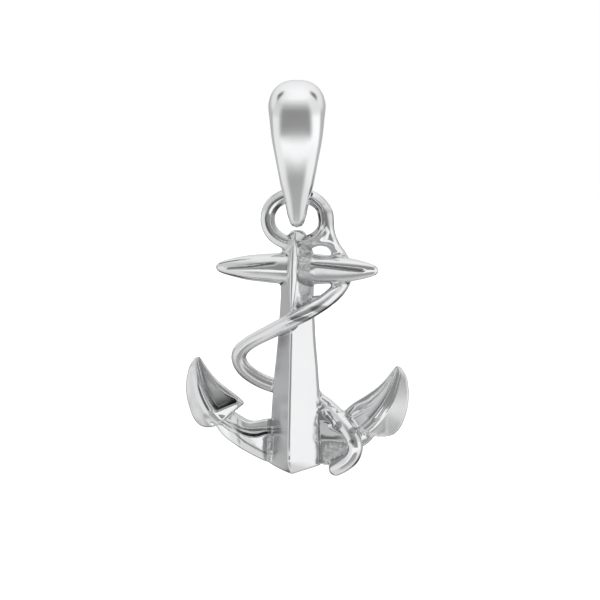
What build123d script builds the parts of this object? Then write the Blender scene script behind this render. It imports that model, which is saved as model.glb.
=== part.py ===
from build123d import *
import os
from math import acos, atan2, cos, degrees, hypot, radians, sin, tan

# An anchor pendant in solid silver, in two pieces: a tapered domed bail, and
# the anchor with its eye and its rope, which is one casting that swings on it.
# Millimetres, +Z up, the front faces -Y. The origin is the middle of the line
# on which a chain bears, between the two inner edges of the bail's crown.

# Bail: a domed strip bent into a drop, its two leaves joined at the tip
bail_height = 9.75
bail_width = 3.75
bail_top_radius = 2.62
bail_shoulder_share = 0.849
bail_tip_half_depth = 0.56
crown_dome = 1.50
leaf_edge = 0.35
leaf_tip_edge = 0.11
leaf_wall = 0.62
leaf_tip_wall = 0.33
front_leaf_shortfall = 0.26
tip_web_height = 1.38
tip_web_saddle_rise = 0.375
tip_web_width_share = 0.9

# Eye of the anchor: a round wire bent to an oval
eye_wire = 0.96
eye_half_width = 1.99
eye_half_height = 1.63
eye_side_radius = 1.45
pivot_drop = 5.70

# Shank: a tapering bar with a front ridge between two flat faces
shank_length = 15.9
shank_top = 2.36
shank_half_width = 1.55
shank_ridge_height = 1.38
shank_back = 0.75
keel_drop = 0.22
keel_rise_angle = 19.5
bead_top = 0.56
bead_length = 5.0
bead_belly_share = 0.42
bead_radius = 0.33
bead_end_radius = 0.07
bead_rise = 0.10

# Stock: the cross bar, a round spindle
stock_length = 11.1
stock_radius = 1.04
stock_shoulder_radius = 0.82
stock_neck_radius = 0.56
stock_tip_radius = 0.30
stock_drop = 4.90
stock_set_back = 0.12

# Arms and flukes
arm_reach = 5.08
arm_rise = 3.70
arm_ridge_height = 1.00
arm_back = 0.55
arm_edge = 0.22
fluke_length = 4.18
fluke_half_breadth = 1.82
fluke_ridge_height = 1.00
fluke_back = 0.45
fluke_edge = 0.17
fluke_tip_edge = 0.07
fluke_hollow_depth = 0.22
fluke_splay_angle = 25.3
arms_lean_angle = 1.0

# Web between the shank and the rope's end
web_front = 0.25
web_back = 0.50

# Rope
rope_wire = 1.00
rope_bend_share = 0.45

# How the anchor hangs in the bail
anchor_twist_angle = 15.0
anchor_roll_angle = 0.6

# Sections of one leaf of the bail. Place runs from 0 at the crown to 1 at the
# shoulder's start, 2 at the leaf's start and 3 at its tip. Breadth is a share
# of half the bail's width, dome a share of the section's own half breadth, and
# thin runs from 0 at the crown's wall to 1 at the tip's.
LEAF_SECTIONS = [
    # place, breadth, dome, thin
    (0.00, 1.000, 1.00, 0.0),
    (0.40, 1.005, 0.95, 0.0),
    (0.80, 0.985, 0.84, 0.1),
    (1.30, 0.880, 0.68, 0.3),
    (1.65, 0.730, 0.50, 0.7),
    (2.00, 0.580, 0.36, 1.0),
    (2.50, 0.405, 0.32, 1.0),
    (2.81, 0.300, 0.40, 1.0),
    (2.93, 0.215, 0.45, 1.0),
    (2.985, 0.110, 0.50, 1.0),
]

# The inner face of a leaf keeps at least this share of its dome as a hollow
LEAST_HOLLOW = 0.2

# Sections down the shank. Drop is a share of the shank's length below its top,
# the others are shares of the sizes that they are named after.
SHANK_SECTIONS = [
    # drop, half_width, ridge, back
    (0.000, 0.26, 0.30, 0.60),
    (0.020, 0.38, 0.38, 0.75),
    (0.075, 0.60, 0.54, 0.92),
    (0.290, 0.69, 0.76, 1.00),
    (0.475, 0.81, 0.88, 1.00),
    (0.600, 0.93, 0.96, 1.00),
    (0.720, 1.02, 1.02, 1.00),
    (0.960, 1.10, 1.04, 0.93),
    (0.990, 1.11, 0.80, 0.91),
    (1.020, 1.11, 0.45, 0.90),
]

# Half of the stock's profile: shares of its half length, and radii there
STOCK_STEPS = [
    (0.19, stock_radius),
    (0.61, stock_shoulder_radius),
    (0.85, stock_neck_radius),
]

# Sections along one arm, from inside the shank into the fluke, each from the
# lower edge to the upper one. Out is a share of the arm's reach, up a share of
# its rise above the crown, and depth a share of the arm's ridge.
ARM_SECTIONS = [
    # low_out, low_up, high_out, high_up, depth
    (0.295, 0.147, 0.295, 0.962, 1.10),
    (0.400, 0.204, 0.390, 0.968, 1.08),
    (0.660, 0.359, 0.561, 0.914, 1.00),
    (0.886, 0.522, 0.719, 0.968, 0.90),
    (1.053, 0.711, 0.837, 1.076, 0.80),
    (1.161, 0.930, 0.984, 1.190, 0.65),
]

# Shape of an arm's section: across from the lower edge to the upper one, and
# depth in front as a share of the section's own
ARM_FRONT = [(0.30, 1.00), (0.57, 0.95), (0.70, 0.60)]

# Sections of a fluke from its base to its tip. Along is a share of its length,
# the outer edge, ridge and inner edge are shares of its half breadth, and depth
# is a share of its ridge.
FLUKE_SECTIONS = [
    # along, outer, ridge, inner, depth
    (-0.07, 0.93, 0.10, -1.03, 1.00),
    (0.12, 1.08, 0.24, -0.87, 0.95),
    (0.32, 1.07, 0.31, -0.60, 0.86),
    (0.56, 0.95, 0.30, -0.31, 0.68),
    (0.80, 0.66, 0.20, -0.15, 0.44),
    (0.93, 0.40, 0.12, -0.10, 0.28),
    (1.00, 0.14, 0.03, -0.06, 0.16),
]

# Corners of the web that fills the gap between the shank and the rope's end.
# Out and drop are shares as in the rope's course below.
WEB_CORNERS = [
    # out, drop
    (0.84, 0.752),
    (1.48, 0.763),
    (2.13, 0.833),
    (2.19, 0.898),
    (1.74, 0.931),
    (0.84, 0.952),
]

# The rope's course, chosen by eye. Out and depth are shares of the shank's
# greatest half width and depth in front, and drop is a share of the way from
# the eye's top to the crown of the anchor.
ROPE_COURSE = [
    # out, drop, front
    (1.25, 0.068, 0.00),
    (1.36, 0.118, 0.00),
    (1.54, 0.172, -0.10),
    (1.90, 0.222, -0.48),
    (2.06, 0.272, -0.66),
    (1.94, 0.322, -0.38),
    (1.55, 0.366, 0.22),
    (0.80, 0.414, 0.86),
    (0.02, 0.447, 0.96),
    (-0.90, 0.487, 0.42),
    (-1.95, 0.528, 0.10),
    (-2.60, 0.572, -0.10),
    (-2.50, 0.624, -0.30),
    (-1.85, 0.668, -0.55),
    (-1.00, 0.694, -0.72),
    (0.35, 0.718, -0.74),
    (1.30, 0.750, -0.40),
    (2.08, 0.800, 0.22),
    (2.66, 0.848, 0.66),
    (2.86, 0.892, 0.76),
    (2.66, 0.934, 0.60),
    (2.25, 0.960, 0.38),
    (1.90, 0.974, 0.22),
]

# Sizes that follow from those above. The shoulder's arc would meet the tip at
# a share of 1, and below that a straight leaf runs on from it to the tip.
crest_z = crown_dome + leaf_edge
bail_tip_z = crest_z - bail_height
top_centre_z = crest_z - bail_top_radius
leaf_fall = top_centre_z - bail_tip_z
leaf_draw = bail_top_radius - bail_tip_half_depth
bail_shoulder_radius = bail_shoulder_share * hypot(leaf_draw, leaf_fall) ** 2 / (2 * leaf_draw)
crown_drop = shank_top + shank_length + keel_drop
stock_half = stock_length / 2


def leaf_line():
    # Where the shoulder's arc ends and the straight leaf starts, with the
    # slope of the straight: the tangent from the tip to the shoulder's arc
    centre_out = bail_top_radius - bail_shoulder_radius
    out = bail_tip_half_depth - centre_out
    reach = hypot(out, leaf_fall)
    turn = atan2(leaf_fall, out) - acos(bail_shoulder_radius / reach)
    start_out = centre_out + bail_shoulder_radius * cos(turn)
    start_z = top_centre_z - bail_shoulder_radius * sin(turn)
    return turn, start_out, start_z


def leaf_place(place):
    # Outward distance, height and the crest's outward slope below the level
    slope, start_out, start_z = leaf_line()
    if place <= 1:
        up = radians(90) * (1 - place)
        out = bail_top_radius * cos(up)
        return out, top_centre_z + bail_top_radius * sin(up), -up
    if place <= 2:
        turn = slope * (place - 1)
        centre_out = bail_top_radius - bail_shoulder_radius
        out = centre_out + bail_shoulder_radius * cos(turn)
        return out, top_centre_z - bail_shoulder_radius * sin(turn), turn
    share = place - 2
    out = start_out + (bail_tip_half_depth - start_out) * share
    return out, start_z + (bail_tip_z - start_z) * share, slope


def crest_arcs(half, foot, crest):
    # Two arcs from (half, foot) over (0, crest) to (-half, foot), on one circle
    rise = crest - foot
    radius = (half**2 + rise**2) / (2 * rise)
    centre = crest - radius
    reach = atan2(half, foot - centre)
    mid = (radius * sin(reach / 2), centre + radius * cos(reach / 2))
    right = ThreePointArc((half, foot), mid, (0, crest))
    left = ThreePointArc((0, crest), (-mid[0], mid[1]), (-half, foot))
    return [right, left]


def leaf_section(side, place, breadth, dome, thin, shortfall):
    # A crescent across the strip: a domed outer face and a hollow inner one.
    # Side is -1 for the front leaf and 1 for the back one.
    out, height, slope = leaf_place(place)
    _, start_out, start_z = leaf_line()
    if place > 2:
        keep = 1 - shortfall / (start_z - bail_tip_z)
        out = start_out + (out - start_out) * keep
        height = start_z + (height - start_z) * keep
    half = bail_width / 2 * breadth
    rise = half * dome * crown_dome / (bail_width / 2)
    edge = leaf_edge + (leaf_tip_edge - leaf_edge) * thin
    wall = leaf_wall + (leaf_tip_wall - leaf_wall) * thin
    inner_crest = -rise - edge + max(rise + edge - wall, LEAST_HOLLOW * rise)
    outer = crest_arcs(half, -rise, 0)
    inner = crest_arcs(half, -rise - edge, inner_crest)
    right = Line((half, -rise - edge), (half, -rise))
    left = Line((-half, -rise), (-half, -rise - edge))
    normal = Vector(0, side * cos(slope), -sin(slope))
    plane = Plane(
        origin=(0, side * out, height),
        x_dir=(1, 0, 0),
        z_dir=Vector(1, 0, 0).cross(normal),
    )
    return plane * Wire([right, *outer, left, *inner])


def make_strip():
    # The whole strip: up the front leaf, over the crown and down the back leaf
    front = [leaf_section(-1, *row, front_leaf_shortfall) for row in LEAF_SECTIONS]
    back = [leaf_section(1, *row, 0) for row in LEAF_SECTIONS]
    return Solid.make_loft(front[::-1] + back[1:])


def make_tip_web():
    # The solder that joins the two leaves below the wire, with a round saddle
    slope, _, start_z = leaf_line()
    foot = bail_tip_z + leaf_tip_edge
    top = bail_tip_z + tip_web_height
    horn = top + tip_web_saddle_rise
    sunk = leaf_tip_wall / 2 / cos(slope)
    foot_half = bail_tip_half_depth + (foot - bail_tip_z) * tan(slope) - sunk
    top_half = bail_tip_half_depth + (horn - bail_tip_z) * tan(slope) - sunk
    outline = (
        Line((-foot_half, foot), (foot_half, foot))
        + Line((foot_half, foot), (top_half, horn))
        + ThreePointArc((top_half, horn), (0, top), (-top_half, horn))
        + Line((-top_half, horn), (-foot_half, foot))
    )
    side = extrude(Plane.YZ * make_face(outline), bail_width, both=True)
    widest = bail_width / 2 * tip_web_width_share
    right = []
    for place, breadth, _, _ in LEAF_SECTIONS:
        if place >= 2:
            right.append((widest * breadth, start_z - (place - 2) * (start_z - bail_tip_z)))
    left = [(-x, z) for x, z in reversed(right)]
    front = extrude(Plane.XZ * make_face(Polyline(*right, *left, right[0])), bail_width, both=True)
    return side & front


def make_bail():
    return make_strip() + make_tip_web()


def oval_arcs():
    # The eye's centre line: two side arcs and two flatter ones, in tangency
    side = eye_side_radius
    shift = eye_half_width - side
    flat_gap = eye_half_height - side
    drop = (shift**2 - flat_gap**2) / (2 * flat_gap)
    flat = eye_half_height + drop
    corner = degrees(atan2(drop, shift))
    # centre x, centre z, radius, start angle, swept angle
    return [
        (0, -drop, flat, corner, 180 - 2 * corner),
        (-shift, 0, side, 180 - corner, 2 * corner),
        (0, drop, flat, 180 + corner, 180 - 2 * corner),
        (shift, 0, side, -corner, 2 * corner),
    ]


def make_eye():
    eye = None
    for x, z, radius, start, swept in oval_arcs():
        wire = Circle(eye_wire / 2)
        bend = Pos(radius, 0, 0) * Rot(90, 0, 0) * wire
        arc = revolve(bend, axis=Axis.Z, revolution_arc=swept)
        arc = Pos(x, 0, z - eye_half_height) * Rot(90, 0, 0) * Rot(0, 0, start) * arc
        eye = arc if eye is None else eye + arc
    return eye


def shank_at(drop):
    # Half width, ridge and back of the shank at a share of its length
    rows = SHANK_SECTIONS
    for above, below in zip(rows, rows[1:]):
        if drop <= below[0]:
            mix = (drop - above[0]) / (below[0] - above[0])
            return [a + (b - a) * mix for a, b in zip(above[1:], below[1:])]
    return rows[-1][1:]


def make_shank():
    sections = []
    for drop, wide, ridge, back in SHANK_SECTIONS:
        half = shank_half_width * wide
        front = shank_ridge_height * ridge
        rear = shank_back * back
        corners = [(-half, rear), (-half, 0), (0, -front), (half, 0), (half, rear)]
        face = make_face(Polyline(*corners, corners[0]))
        sections.append(Pos(0, 0, -shank_top - shank_length * drop) * face)
    return loft(sections, ruled=True) - make_keel_cut()


def make_keel_cut():
    # What is cut off below the shank, so that its end rises to both sides
    reach = 2 * shank_half_width
    rise = reach * tan(radians(keel_rise_angle))
    corners = [(0, -crown_drop), (reach, rise - crown_drop), (reach, -reach - crown_drop)]
    corners += [(-reach, -reach - crown_drop), (-reach, rise - crown_drop)]
    face = Plane.XZ * make_face(Polyline(*corners, corners[0]))
    return extrude(face, reach, both=True)


def make_web():
    corners = [(shank_half_width * out, -crown_drop * drop) for out, drop in WEB_CORNERS]
    face = Plane.XZ * make_face(Polyline(*corners, corners[0]))
    return extrude(face, web_front) + extrude(face, -web_back)


def make_bead():
    # The raised leaf on the shank's ridge, from the eye to the rope
    start_share = bead_top / shank_length
    end_share = (bead_top + bead_length) / shank_length
    start_front = shank_at(start_share)[1] * shank_ridge_height + bead_rise
    end_front = shank_at(end_share)[1] * shank_ridge_height + bead_rise
    run = hypot(bead_length, end_front - start_front)
    tilt = degrees(atan2(end_front - start_front, bead_length))
    profile = (
        Line((0, 0), (bead_end_radius, 0))
        + ThreePointArc((bead_end_radius, 0), (bead_radius, run * bead_belly_share), (bead_end_radius, run))
        + Line((bead_end_radius, run), (0, run))
        + Line((0, run), (0, 0))
    )
    spindle = revolve(Plane.XZ * make_face(profile), axis=Axis.Z)
    return Pos(0, -start_front, -shank_top - bead_top) * Rot(180 - tilt, 0, 0) * spindle


def make_stock():
    # A turned bar: cones that narrow towards each end, and a round nose
    ball_x = stock_half - stock_tip_radius
    right = [(stock_half * share, radius) for share, radius in STOCK_STEPS]
    right += [(ball_x, stock_tip_radius)]
    left = [(-x, radius) for x, radius in reversed(right)]
    bow = stock_tip_radius * sin(radians(45))
    profile = (
        Polyline(*left, *right)
        + ThreePointArc(right[-1], (ball_x + bow, bow), (stock_half, 0))
        + Line((stock_half, 0), (-stock_half, 0))
        + ThreePointArc((-stock_half, 0), (-ball_x - bow, bow), left[0])
    )
    bar = revolve(make_face(profile), axis=Axis.X)
    return Pos(0, stock_set_back, -stock_drop) * bar


def arm_section(low_out, low_up, high_out, high_up, depth):
    low = Vector(arm_reach * low_out, 0, -crown_drop + arm_rise * low_up)
    high = Vector(arm_reach * high_out, 0, -crown_drop + arm_rise * high_up)
    across = high - low
    width = across.length
    corners = [(0, arm_edge), (0, -arm_edge)]
    corners += [(width * share, -arm_ridge_height * depth * front) for share, front in ARM_FRONT]
    corners += [(width, -arm_edge), (width, arm_edge), (width / 2, arm_back)]
    face = make_face(Polyline(*corners, corners[0]))
    x_dir = across.normalized()
    plane = Plane(origin=low, x_dir=x_dir, z_dir=x_dir.cross(Vector(0, 1, 0)))
    return plane * face


def make_arm():
    return loft([arm_section(*row) for row in ARM_SECTIONS])


def fluke_section(along, outer, ridge, inner, depth):
    splay = radians(fluke_splay_angle)
    base = Vector(arm_reach, 0, arm_rise - crown_drop)
    up = Vector(sin(splay), 0, cos(splay))
    out = Vector(cos(splay), 0, -sin(splay))
    half = fluke_half_breadth
    front = -fluke_ridge_height * depth
    back = fluke_back * depth
    edge = fluke_edge * depth + fluke_tip_edge * (1 - depth)
    ridge_at = Vector(half * ridge, front)
    inner_at = Vector(half * inner, -edge)
    span = inner_at - ridge_at
    inward = Vector(span.Y, -span.X).normalized()
    middle = (ridge_at + inner_at) / 2 + inward * (fluke_hollow_depth * depth)
    outline = (
        Line((half * outer, edge), (half * outer, -edge))
        + Line((half * outer, -edge), ridge_at)
        + ThreePointArc(ridge_at, middle, inner_at)
        + Line(inner_at, (half * inner, edge))
        + Line((half * inner, edge), (half * ridge, back))
        + Line((half * ridge, back), (half * outer, edge))
    )
    face = make_face(outline)
    origin = base + up * (fluke_length * along)
    plane = Plane(origin=origin, x_dir=out, z_dir=out.cross(Vector(0, 1, 0)))
    return plane * face


def make_fluke():
    return loft([fluke_section(*row) for row in FLUKE_SECTIONS])


def rope_points():
    return [
        Vector(shank_half_width * out, -shank_ridge_height * front, -crown_drop * drop)
        for out, drop, front in ROPE_COURSE
    ]


def make_rope():
    points = rope_points()
    radii = []
    for before, here, after in zip(points, points[1:], points[2:]):
        into = here - before
        away = after - here
        turn = radians(into.get_angle(away))
        radii.append(rope_bend_share * min(into.length, away.length) / tan(turn / 2))
    path = FilletPolyline(*points, radius=radii)
    start = Plane(origin=points[0], z_dir=points[1] - points[0])
    rope = sweep(start * Circle(rope_wire / 2), path=path)
    ends = Pos(points[0]) * Sphere(rope_wire / 2) + Pos(points[-1]) * Sphere(rope_wire / 2)
    return rope + ends


def make_anchor():
    arm = make_arm()
    fluke = make_fluke()
    limbs = arm + fluke
    limbs = limbs + mirror(limbs, about=Plane.YZ)
    crown = Pos(0, 0, -crown_drop)
    limbs = crown * Rot(0, arms_lean_angle, 0) * Pos(0, 0, crown_drop) * limbs
    anchor = make_shank() + limbs + make_stock() + make_bead() + make_eye()
    anchor = anchor + make_web() + make_rope()
    hang = Pos(0, 0, -pivot_drop) * Rot(0, 0, -anchor_twist_angle) * Rot(0, anchor_roll_angle, 0)
    return hang * anchor


os.makedirs("parts", exist_ok=True)
pieces = {
    "bail": make_bail(),
    "anchor": make_anchor(),
}
for name, solid in pieces.items():
    export_step(solid, f"parts/{name}.step")
    print(name, "solids", len(solid.solids()), "volume", round(solid.volume, 3), solid.bounding_box())
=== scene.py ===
from math import atan2, acos, cos, hypot, radians, sin, tan

import bpy
import numpy as np
from mathutils import Matrix, Vector


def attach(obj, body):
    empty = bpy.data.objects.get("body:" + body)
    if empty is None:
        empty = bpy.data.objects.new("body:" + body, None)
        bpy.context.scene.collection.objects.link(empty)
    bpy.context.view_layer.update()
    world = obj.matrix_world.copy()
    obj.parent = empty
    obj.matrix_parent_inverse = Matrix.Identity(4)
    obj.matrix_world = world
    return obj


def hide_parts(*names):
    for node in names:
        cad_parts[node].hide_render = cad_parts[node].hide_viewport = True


# An anchor pendant in polished silver. The frame's nodes are the bail and the
# anchor, and each is dressed here by a finer mesh of the same sizes. Lengths in
# this script are millimetres until a mesh is made.
MM = 0.001

# How the anchor hangs: its own upright frame is turned and rolled about the pivot
PIVOT_DROP = 5.70
ANCHOR_TWIST = radians(15.0)
ANCHOR_ROLL = radians(0.6)
ARMS_LEAN = radians(1.0)

# The eye is an oval ring of wire with a fine line round its front. Each ground face
# has its turn outward from the front in degrees, on the ring's left and right half,
# and its distance from the middle of the wire.
EYE_WIRE = 0.96
EYE_HALF_WIDTH = 1.99
EYE_HALF_HEIGHT = 1.63
EYE_SIDE_RADIUS = 1.45
EYE_FACES = [(28, 38, 0.42), (-16, 2, 0.42), (-68, -55, 0.38)]
EYE_ROUND = 0.05
EYE_LINE_HALF = 0.06
EYE_LINE_DEPTH = 0.04

# The shank, whose keel ends in a point at the crown
SHANK_TOP = 2.36
SHANK_LENGTH = 15.9
SHANK_HALF_WIDTH = 1.55
SHANK_RIDGE = 1.38
SHANK_BACK = 0.75
SHANK_ROUND = 0.06
KEEL_RISE = radians(19.5)
KEEL_DROP = 0.22
CROWN_DROP = SHANK_TOP + SHANK_LENGTH + KEEL_DROP

# The stock. The face ground on its right half has a tilt, and its distance from the
# axis is a share of the radius.
STOCK_DROP = 4.90
STOCK_SET_BACK = 0.12
STOCK_FACE = (radians(10), 0.88)
STOCK_FACE_ROUND = 0.20

# The raised leaf on the shank's ridge
BEAD_TOP = 0.56
BEAD_RISE = 0.10
BEAD_LENGTH = 5.0
BEAD_POWER = 1.35
BEAD_FILLET = 0.06

# The arms. Pairs are for the left and right one. Out to its start an arm's front is
# lower, by the share of its root, and a notch moves the left one's start outward.
ARM_REACH = 5.08
ARM_RISE = 3.70
ARM_BACK = 0.55
ARM_ROOTS = (0.35, -0.35)
ARM_STARTS = (1.55, 3.50)
ARM_STEP = 0.20
NOTCH_START = 1.82
NOTCH_TOP = (2.25, 2.60)

# The flukes, which splay outward, and their fillets with the left and right arm
FLUKE_LENGTH = 4.18
FLUKE_HALF_BREADTH = 1.82
FLUKE_FRONT = 1.00
FLUKE_BACK = 0.45
FLUKE_EDGE = 0.17
FLUKE_SET_BACK = -0.06
FLUKE_SPLAY = radians(25.3)
FLUKE_BASE_RAKE = 0.35
FLUKE_FILLETS = (0.10, 0.55)

# A fluke's ridge, with a line cut beside it and a streak along it
RIDGE_HALF = 0.26
RIDGE_CROWN = 0.05
RIDGE_LINE_DEPTH = 0.06
RIDGE_STREAK_DEPTH = 0.08
RIDGE_CUT_HALF = 0.10

# A fluke's hollow. Its inner wall and the flat border past it are at shares of the
# way from the ridge to the inner edge, and the wall is nearer to the edge at the
# base. The right hollow runs out past its fluke's base.
POCKET_DEPTH = 0.42
POCKET_WALL = (0.62, 0.77)
POCKET_WIDENING = 0.13
BORDER_START = 0.76
RIGHT_RUN_OUT = 1.5

# The left hollow ends at a raised rim, at a share of the fluke's length, which
# slopes back towards the base
RIM_PLACE = 0.075
RIM_SLOPE = 0.60
RIM_LIFT = 0.12

# Middle and half sizes of the hollow between the raised leaf and the shank's edge
GROOVE_PLACE = (0.66, -0.98, -5.5)
GROOVE_SIZE = (0.42, 0.50, 2.5)

# The web between the shank and the rope's end: its middle and half sizes, its back,
# how far its front stands forward above and below its step, how deep it is bowled,
# and the height of its dots and how far apart they are
WEB_PLACE = (2.35, -16.0)
WEB_SIZE = (1.75, 1.90)
WEB_BACK = 0.60
WEB_FRONTS = (0.10, -0.12)
WEB_BOWL = 0.38
WEB_STEP = -16.28
WEB_FILLET = 0.05
WEB_DOTS = (0.022, 0.27)

# Middles and sizes of what fills the corners of the windows beside the stock
FILLERS = [
    ((1.86, 0.05, -3.02), (0.62, 0.34, 0.36)),
    ((1.62, 0.10, -6.95), (0.80, 0.32, 0.34)),
]

# Places that the polishing doesn't reach, each an ellipsoid's middle and size
CAST_PLACES = [
    ((0.78, -0.55, -4.9), (0.52, 0.75, 2.7)),
    ((2.75, 0.00, -17.0), (1.10, 0.60, 0.85)),
    ((-1.80, -0.45, -16.9), (0.28, 0.60, 1.0)),
]

# Where dark reflections are painted on the rope: between the stock and the shank, and beside the web
PAINTED_REFLECTION_PLACES = [
    ((1.75, -0.90, -7.45), (0.95, 0.8, 0.30)),
    ((0.75, -1.50, -8.10), (0.85, 0.8, 0.22)),
    ((3.20, -0.90, -15.1), (0.30, 0.6, 0.30)),
    ((4.25, -0.90, -15.4), (0.28, 0.7, 0.26)),
    ((4.23, -0.90, -16.1), (0.25, 0.7, 0.20)),
]

# How near to another form the painted shade in a corner begins
CREASE_REACH = (0.03, 0.20)

# How dark the silver is painted: painted shade in the corners and on the walls of the
# hollows, painted dark reflections on the streak on the left fluke's ridge, the mould line,
# the eye's line and the rope, and painted shade on the web
CREASE_PAINTED_SHADE = 0.34
WALL_PAINTED_SHADE = 0.55
STREAK_PAINTED_REFLECTION = 0.9
SEAM_PAINTED_REFLECTION = 0.85
EYE_LINE_PAINTED_REFLECTION = 0.8
ROPE_PAINTED_REFLECTION = 0.6
WEB_PAINTED_SHADE = 0.5

# How satin the faces of the shank and the outer faces of the flukes are, on the left
# and right, and the rope's loop, the stock's ground face and what looks sideways
SHANK_SATIN = (0.85, 0.15)
FLUKE_SATIN = (0.15, 0.8)
LOOP_SATIN = 0.8
STOCK_SATIN = 0.6
SIDE_SATIN = 0.85

# Slight waves in the polished faces and in the rough ones: their height and length,
# and their directions
WOBBLE = [(0.006, 2.4), (0.0010, 0.9)]
CAST_WOBBLE = (0.014, 0.42)
WOBBLE_WAYS = np.array([(0.80, 0.30, 0.52), (-0.45, 0.70, 0.55), (0.25, -0.60, 0.76)])

# Fillets where the castings run into each other, rounding of their edges, and how
# far apart the points of their mesh are, which are found in blocks
FILLET = 0.22
ROPE_FILLET = 0.32
EDGE_ROUND = 0.14
SOFT_ROUND = 0.22
GRID_STEP = 0.0705
GRID_BLOCK = 4

SHANK_SECTIONS = [
    # drop, half_width, ridge, back
    (0.000, 0.26, 0.30, 0.60),
    (0.020, 0.38, 0.38, 0.75),
    (0.075, 0.60, 0.54, 0.92),
    (0.290, 0.69, 0.76, 1.00),
    (0.475, 0.81, 0.88, 1.00),
    (0.600, 0.93, 0.96, 1.00),
    (0.720, 1.02, 1.02, 1.00),
    (0.930, 1.09, 1.06, 0.95),
    (0.965, 1.10, 1.02, 0.92),
    (1.000, 1.11, 0.72, 0.90),
    (1.014, 1.11, 0.50, 0.90),
]

STOCK_SIZES = [
    # out, radius
    (0.00, 1.05),
    (1.05, 1.03),
    (2.20, 0.94),
    (3.30, 0.83),
    (4.10, 0.68),
    (4.70, 0.54),
    (5.10, 0.42),
    (5.35, 0.31),
    (5.55, 0.00),
]

# The line that the mould leaves along the stock: its height above the axis at
# places along the left and right halves, its depth and its half width
STOCK_SEAM = [
    # along, up
    (-4.70, -0.06),
    (-3.20, 0.08),
    (-1.10, 0.34),
    (1.10, 0.34),
    (4.70, 0.00),
]
SEAM_DEPTH = 0.05
SEAM_HALF = 0.09

BEAD_BALLS = [
    # share of the bead's length, radius
    (0.00, 0.06),
    (0.10, 0.20),
    (0.30, 0.31),
    (0.50, 0.31),
    (0.80, 0.18),
    (1.00, 0.05),
]

ARM_OUTLINE = [
    # out, low, high
    (0.00, 0.000, 0.940),
    (0.36, 0.182, 0.966),
    (0.62, 0.336, 0.916),
    (0.80, 0.455, 1.030),
    (1.00, 0.650, 1.190),
    (1.16, 0.930, 1.300),
]

# Grooves that run along the front of an arm, as heights above the crown
ARM_LINES = [
    # out, lower, middle, upper
    (1.85, 1.30, 2.68, 2.92),
    (2.03, 1.39, 2.62, 2.89),
    (2.41, 1.57, 2.50, 2.84),
    (3.08, 1.90, 2.51, 2.81),
    (3.50, 2.12, 2.61, 2.88),
    (4.19, 2.54, 2.85, 3.10),
    (4.98, 3.05, 3.25, 3.45),
]

# How far an arm's front stands forward at its lower edge, at its three grooves
# and at its upper edge
ARM_FRONTS = (0.35, 0.70, 0.86, 0.92, 0.68)
ARM_GROOVES = [
    # depth, half width, how dark the painted reflection line along it is
    (0.06, 0.060, 0.80),
    (0.26, 0.085, 1.00),
    (0.16, 0.100, 0.80),
]

# The arm gets thinner where it runs under its fluke
ARM_DEPTHS = [
    # out, share
    (1.90, 1.00),
    (3.10, 0.98),
    (3.60, 0.86),
    (3.95, 0.56),
    (4.30, 0.38),
    (5.00, 0.32),
    (5.90, 0.30),
]

FLUKE_SECTIONS = [
    # along, outer, ridge, inner, depth
    (-0.20, 0.86, -0.05, -1.10, 1.04),
    (-0.05, 0.98, 0.12, -1.02, 1.00),
    (0.12, 1.08, 0.24, -0.87, 0.95),
    (0.32, 1.07, 0.31, -0.60, 0.86),
    (0.56, 0.95, 0.30, -0.31, 0.68),
    (0.80, 0.66, 0.20, -0.15, 0.44),
    (0.93, 0.40, 0.12, -0.10, 0.28),
    (1.00, 0.14, 0.03, -0.06, 0.16),
]

FLUKE_BASE = [
    # across, along
    (-1.15, 0.030),
    (-0.70, -0.010),
    (-0.35, -0.040),
    (0.05, -0.075),
    (0.50, -0.100),
    (0.80, -0.075),
    (1.00, -0.010),
    (1.15, 0.090),
]

ROPE_COURSE = [
    # out, drop, front, radius
    (1.25, 0.068, 0.00, 0.42),
    (1.36, 0.118, 0.00, 0.40),
    (1.54, 0.172, -0.10, 0.38),
    (1.90, 0.222, -0.48, 0.42),
    (2.06, 0.272, -0.66, 0.48),
    (1.94, 0.322, -0.38, 0.50),
    (1.55, 0.366, 0.22, 0.50),
    (0.80, 0.414, 0.86, 0.50),
    (0.02, 0.447, 0.96, 0.50),
    (-0.90, 0.487, 0.42, 0.50),
    (-1.95, 0.528, 0.10, 0.44),
    (-2.60, 0.572, -0.10, 0.50),
    (-2.50, 0.624, -0.30, 0.50),
    (-1.85, 0.668, -0.55, 0.50),
    (-1.00, 0.694, -0.72, 0.50),
    (0.35, 0.718, -0.74, 0.50),
    (1.30, 0.750, -0.40, 0.50),
    (2.08, 0.800, 0.22, 0.50),
    (2.66, 0.848, 0.56, 0.50),
    (2.86, 0.892, 0.60, 0.50),
    (2.66, 0.934, 0.48, 0.50),
    (2.25, 0.960, 0.38, 0.50),
    (1.90, 0.974, 0.22, 0.50),
]


def soft_min(a, b, reach):
    """The lesser of a and b, rounded where they're within reach of each other."""
    share = np.maximum(reach - np.abs(a - b), 0) / reach
    return np.minimum(a, b) - share * share * reach / 4


def soft_max(a, b, reach):
    return -soft_min(-a, -b, reach)


def ease(x, start, end):
    """0 up to start, 1 from end on, and an even slope without corners between."""
    t = np.clip((x - start) / (end - start), 0, 1)
    return t * t * (3 - 2 * t)


def band(x, middle, half):
    """1 in the middle of a soft band across x, and 0 well away from it."""
    return np.exp(-(((x - middle) / half) ** 2))


def columns(table):
    return [np.array(column, float) for column in zip(*table)]


def smooth(x, xs, ys):
    """A smooth curve through the points (xs, ys), held level past its two ends."""
    slopes = np.gradient(ys, xs)
    x = np.clip(x, xs[0], xs[-1])
    i = np.clip(np.searchsorted(xs, x) - 1, 0, len(xs) - 2)
    wide = xs[i + 1] - xs[i]
    t = (x - xs[i]) / wide
    a, b = ys[i], ys[i + 1]
    ta, tb = slopes[i] * wide, slopes[i + 1] * wide
    near = (2 * t**3 - 3 * t**2 + 1) * a + (t**3 - 2 * t**2 + t) * ta
    return near + (3 * t**2 - 2 * t**3) * b + (t**3 - t**2) * tb


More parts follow.
